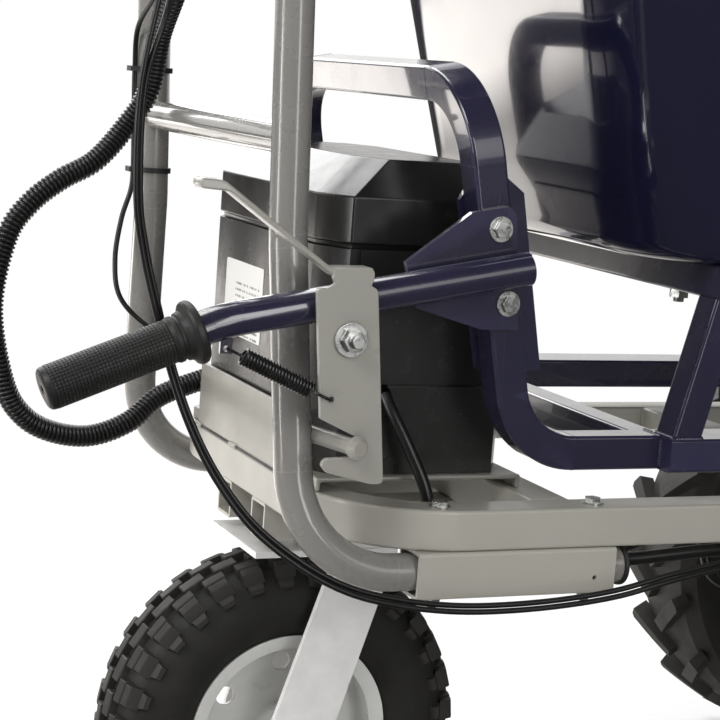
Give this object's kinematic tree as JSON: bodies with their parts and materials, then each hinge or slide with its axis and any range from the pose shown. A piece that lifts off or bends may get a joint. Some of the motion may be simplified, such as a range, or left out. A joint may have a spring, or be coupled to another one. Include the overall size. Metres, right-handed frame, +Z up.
{
  "type": "electric concrete buggy",
  "caption": "Walk-behind battery concrete buggy: tipping tub on a steel frame with a latched lever, handlebars, driven front wheels and a swivelling rear wheel.",
  "frame": {"origin": "on the ground, under the middle of the object's box", "axes": "+X forward towards the tub's tipping edge, +Y to the operator's left, +Z up"},
  "size_m": [1.5164, 0.76, 1.06],
  "materials": {
    "grey_paint": "satin",
    "light_grey_paint": "satin",
    "navy_paint": "gloss",
    "zinc_steel": "satin",
    "dark_cast": "matte",
    "rim_paint": "gloss",
    "tyre_rubber": "matte",
    "black_rubber": "matte",
    "case_plastic": "satin",
    "switch_plastic": "gloss",
    "label_film": "satin",
    "cell_plastic": "matte",
    "spring_steel": "satin"
  },
  "bodies": {
    "chassis": {"chassis_frame": "grey_paint", "crossmembers": "grey_paint", "battery_tray": "grey_paint", "battery_retainer": "grey_paint", "handlebar_sockets": "grey_paint", "socket_bolts": "zinc_steel", "socket_caps": "black_rubber", "handlebar_frame": "light_grey_paint", "handlebar_grips": "black_rubber", "latch_pin": "light_grey_paint", "battery_case": "case_plastic", "battery_lid": "case_plastic", "battery_label": "label_film", "battery_cells": "cell_plastic", "battery_lead": "black_rubber", "cable_conduit": "black_rubber", "brake_cables": "black_rubber", "drive_cable": "black_rubber", "throttle_cable": "black_rubber", "cable_ties": "black_rubber", "console_housing": "case_plastic", "direction_switch": "switch_plastic", "brake_perches": "case_plastic", "controller": "dark_cast", "axle_mounts": "grey_paint", "axle_housing": "dark_cast", "drive_motor": "dark_cast", "brake_backplates": "zinc_steel", "hinge_brackets": "grey_paint", "hinge_pins": "zinc_steel", "rest_pads": "black_rubber", "caster_mount": "zinc_steel", "caster_bolts": "zinc_steel"},
    "tub": {"tub_hoop": "navy_paint", "tub_main_frame": "navy_paint", "tub_shell": "navy_paint", "tub_rim": "navy_paint", "tub_bolts": "zinc_steel", "tipping_lever": "navy_paint", "lever_grip": "black_rubber", "lever_clamp_plate": "navy_paint", "lever_bolts": "zinc_steel", "latch_bolt": "zinc_steel"},
    "latch": {"latch_plate": "light_grey_paint", "latch_spring": "spring_steel"},
    "caster": {"caster_fork": "zinc_steel", "caster_axle": "zinc_steel"},
    "caster_wheel": {"caster_rim": "rim_paint", "caster_tyre": "tyre_rubber"},
    "left_wheel": {"left_hub": "dark_cast", "left_rim": "rim_paint", "left_tyre": "tyre_rubber"},
    "right_wheel": {"right_hub": "dark_cast", "right_rim": "rim_paint", "right_tyre": "tyre_rubber"},
    "left_brake": {"left_brake_lever": "zinc_steel"},
    "right_brake": {"right_brake_lever": "zinc_steel"},
    "key": {"key_switch": "zinc_steel"}
  },
  "joints": [
    {"name": "tub_tilt", "type": "hinge", "parent": "chassis", "child": "tub", "pos_m": [0.58825, 0, 0.482], "axis": [0, 1, 0], "range_deg": [0, 70]},
    {"name": "latch_release", "type": "hinge", "parent": "tub", "child": "latch", "pos_m": [-0.41175, -0.26, 0.586], "axis": [0, -1, 0], "range_deg": [0, 22], "stiffness_Nm_per_rad": 6, "springref_deg": -14.32, "deforming": ["latch_spring"]},
    {"name": "caster_swivel", "type": "hinge", "parent": "chassis", "child": "caster", "pos_m": [-0.30175, 0, 0.357], "axis": [0, 0, 1], "continuous": true},
    {"name": "caster_spin", "type": "hinge", "parent": "caster", "child": "caster_wheel", "pos_m": [-0.34575, 0, 0.175], "axis": [0, 1, 0], "continuous": true},
    {"name": "left_wheel_spin", "type": "hinge", "parent": "chassis", "child": "left_wheel", "pos_m": [0.50825, 0.32, 0.25], "axis": [0, 1, 0], "continuous": true},
    {"name": "right_wheel_spin", "type": "hinge", "parent": "chassis", "child": "right_wheel", "pos_m": [0.50825, -0.32, 0.25], "axis": [0, 1, 0], "continuous": true},
    {"name": "left_brake_pull", "type": "hinge", "parent": "chassis", "child": "left_brake", "pos_m": [-0.59109, 0.187, 0.98602], "axis": [0, 1, 0], "range_deg": [0, 9], "stiffness_Nm_per_rad": 4, "springref_deg": -5.73},
    {"name": "right_brake_pull", "type": "hinge", "parent": "chassis", "child": "right_brake", "pos_m": [-0.59109, -0.187, 0.98602], "axis": [0, 1, 0], "range_deg": [0, 9], "stiffness_Nm_per_rad": 4, "springref_deg": -5.73},
    {"name": "key_turn", "type": "hinge", "parent": "chassis", "child": "key", "pos_m": [-0.48075, -0.045, 0.964], "axis": [0, 0, 1], "range_deg": [0, 90]}
  ]
}
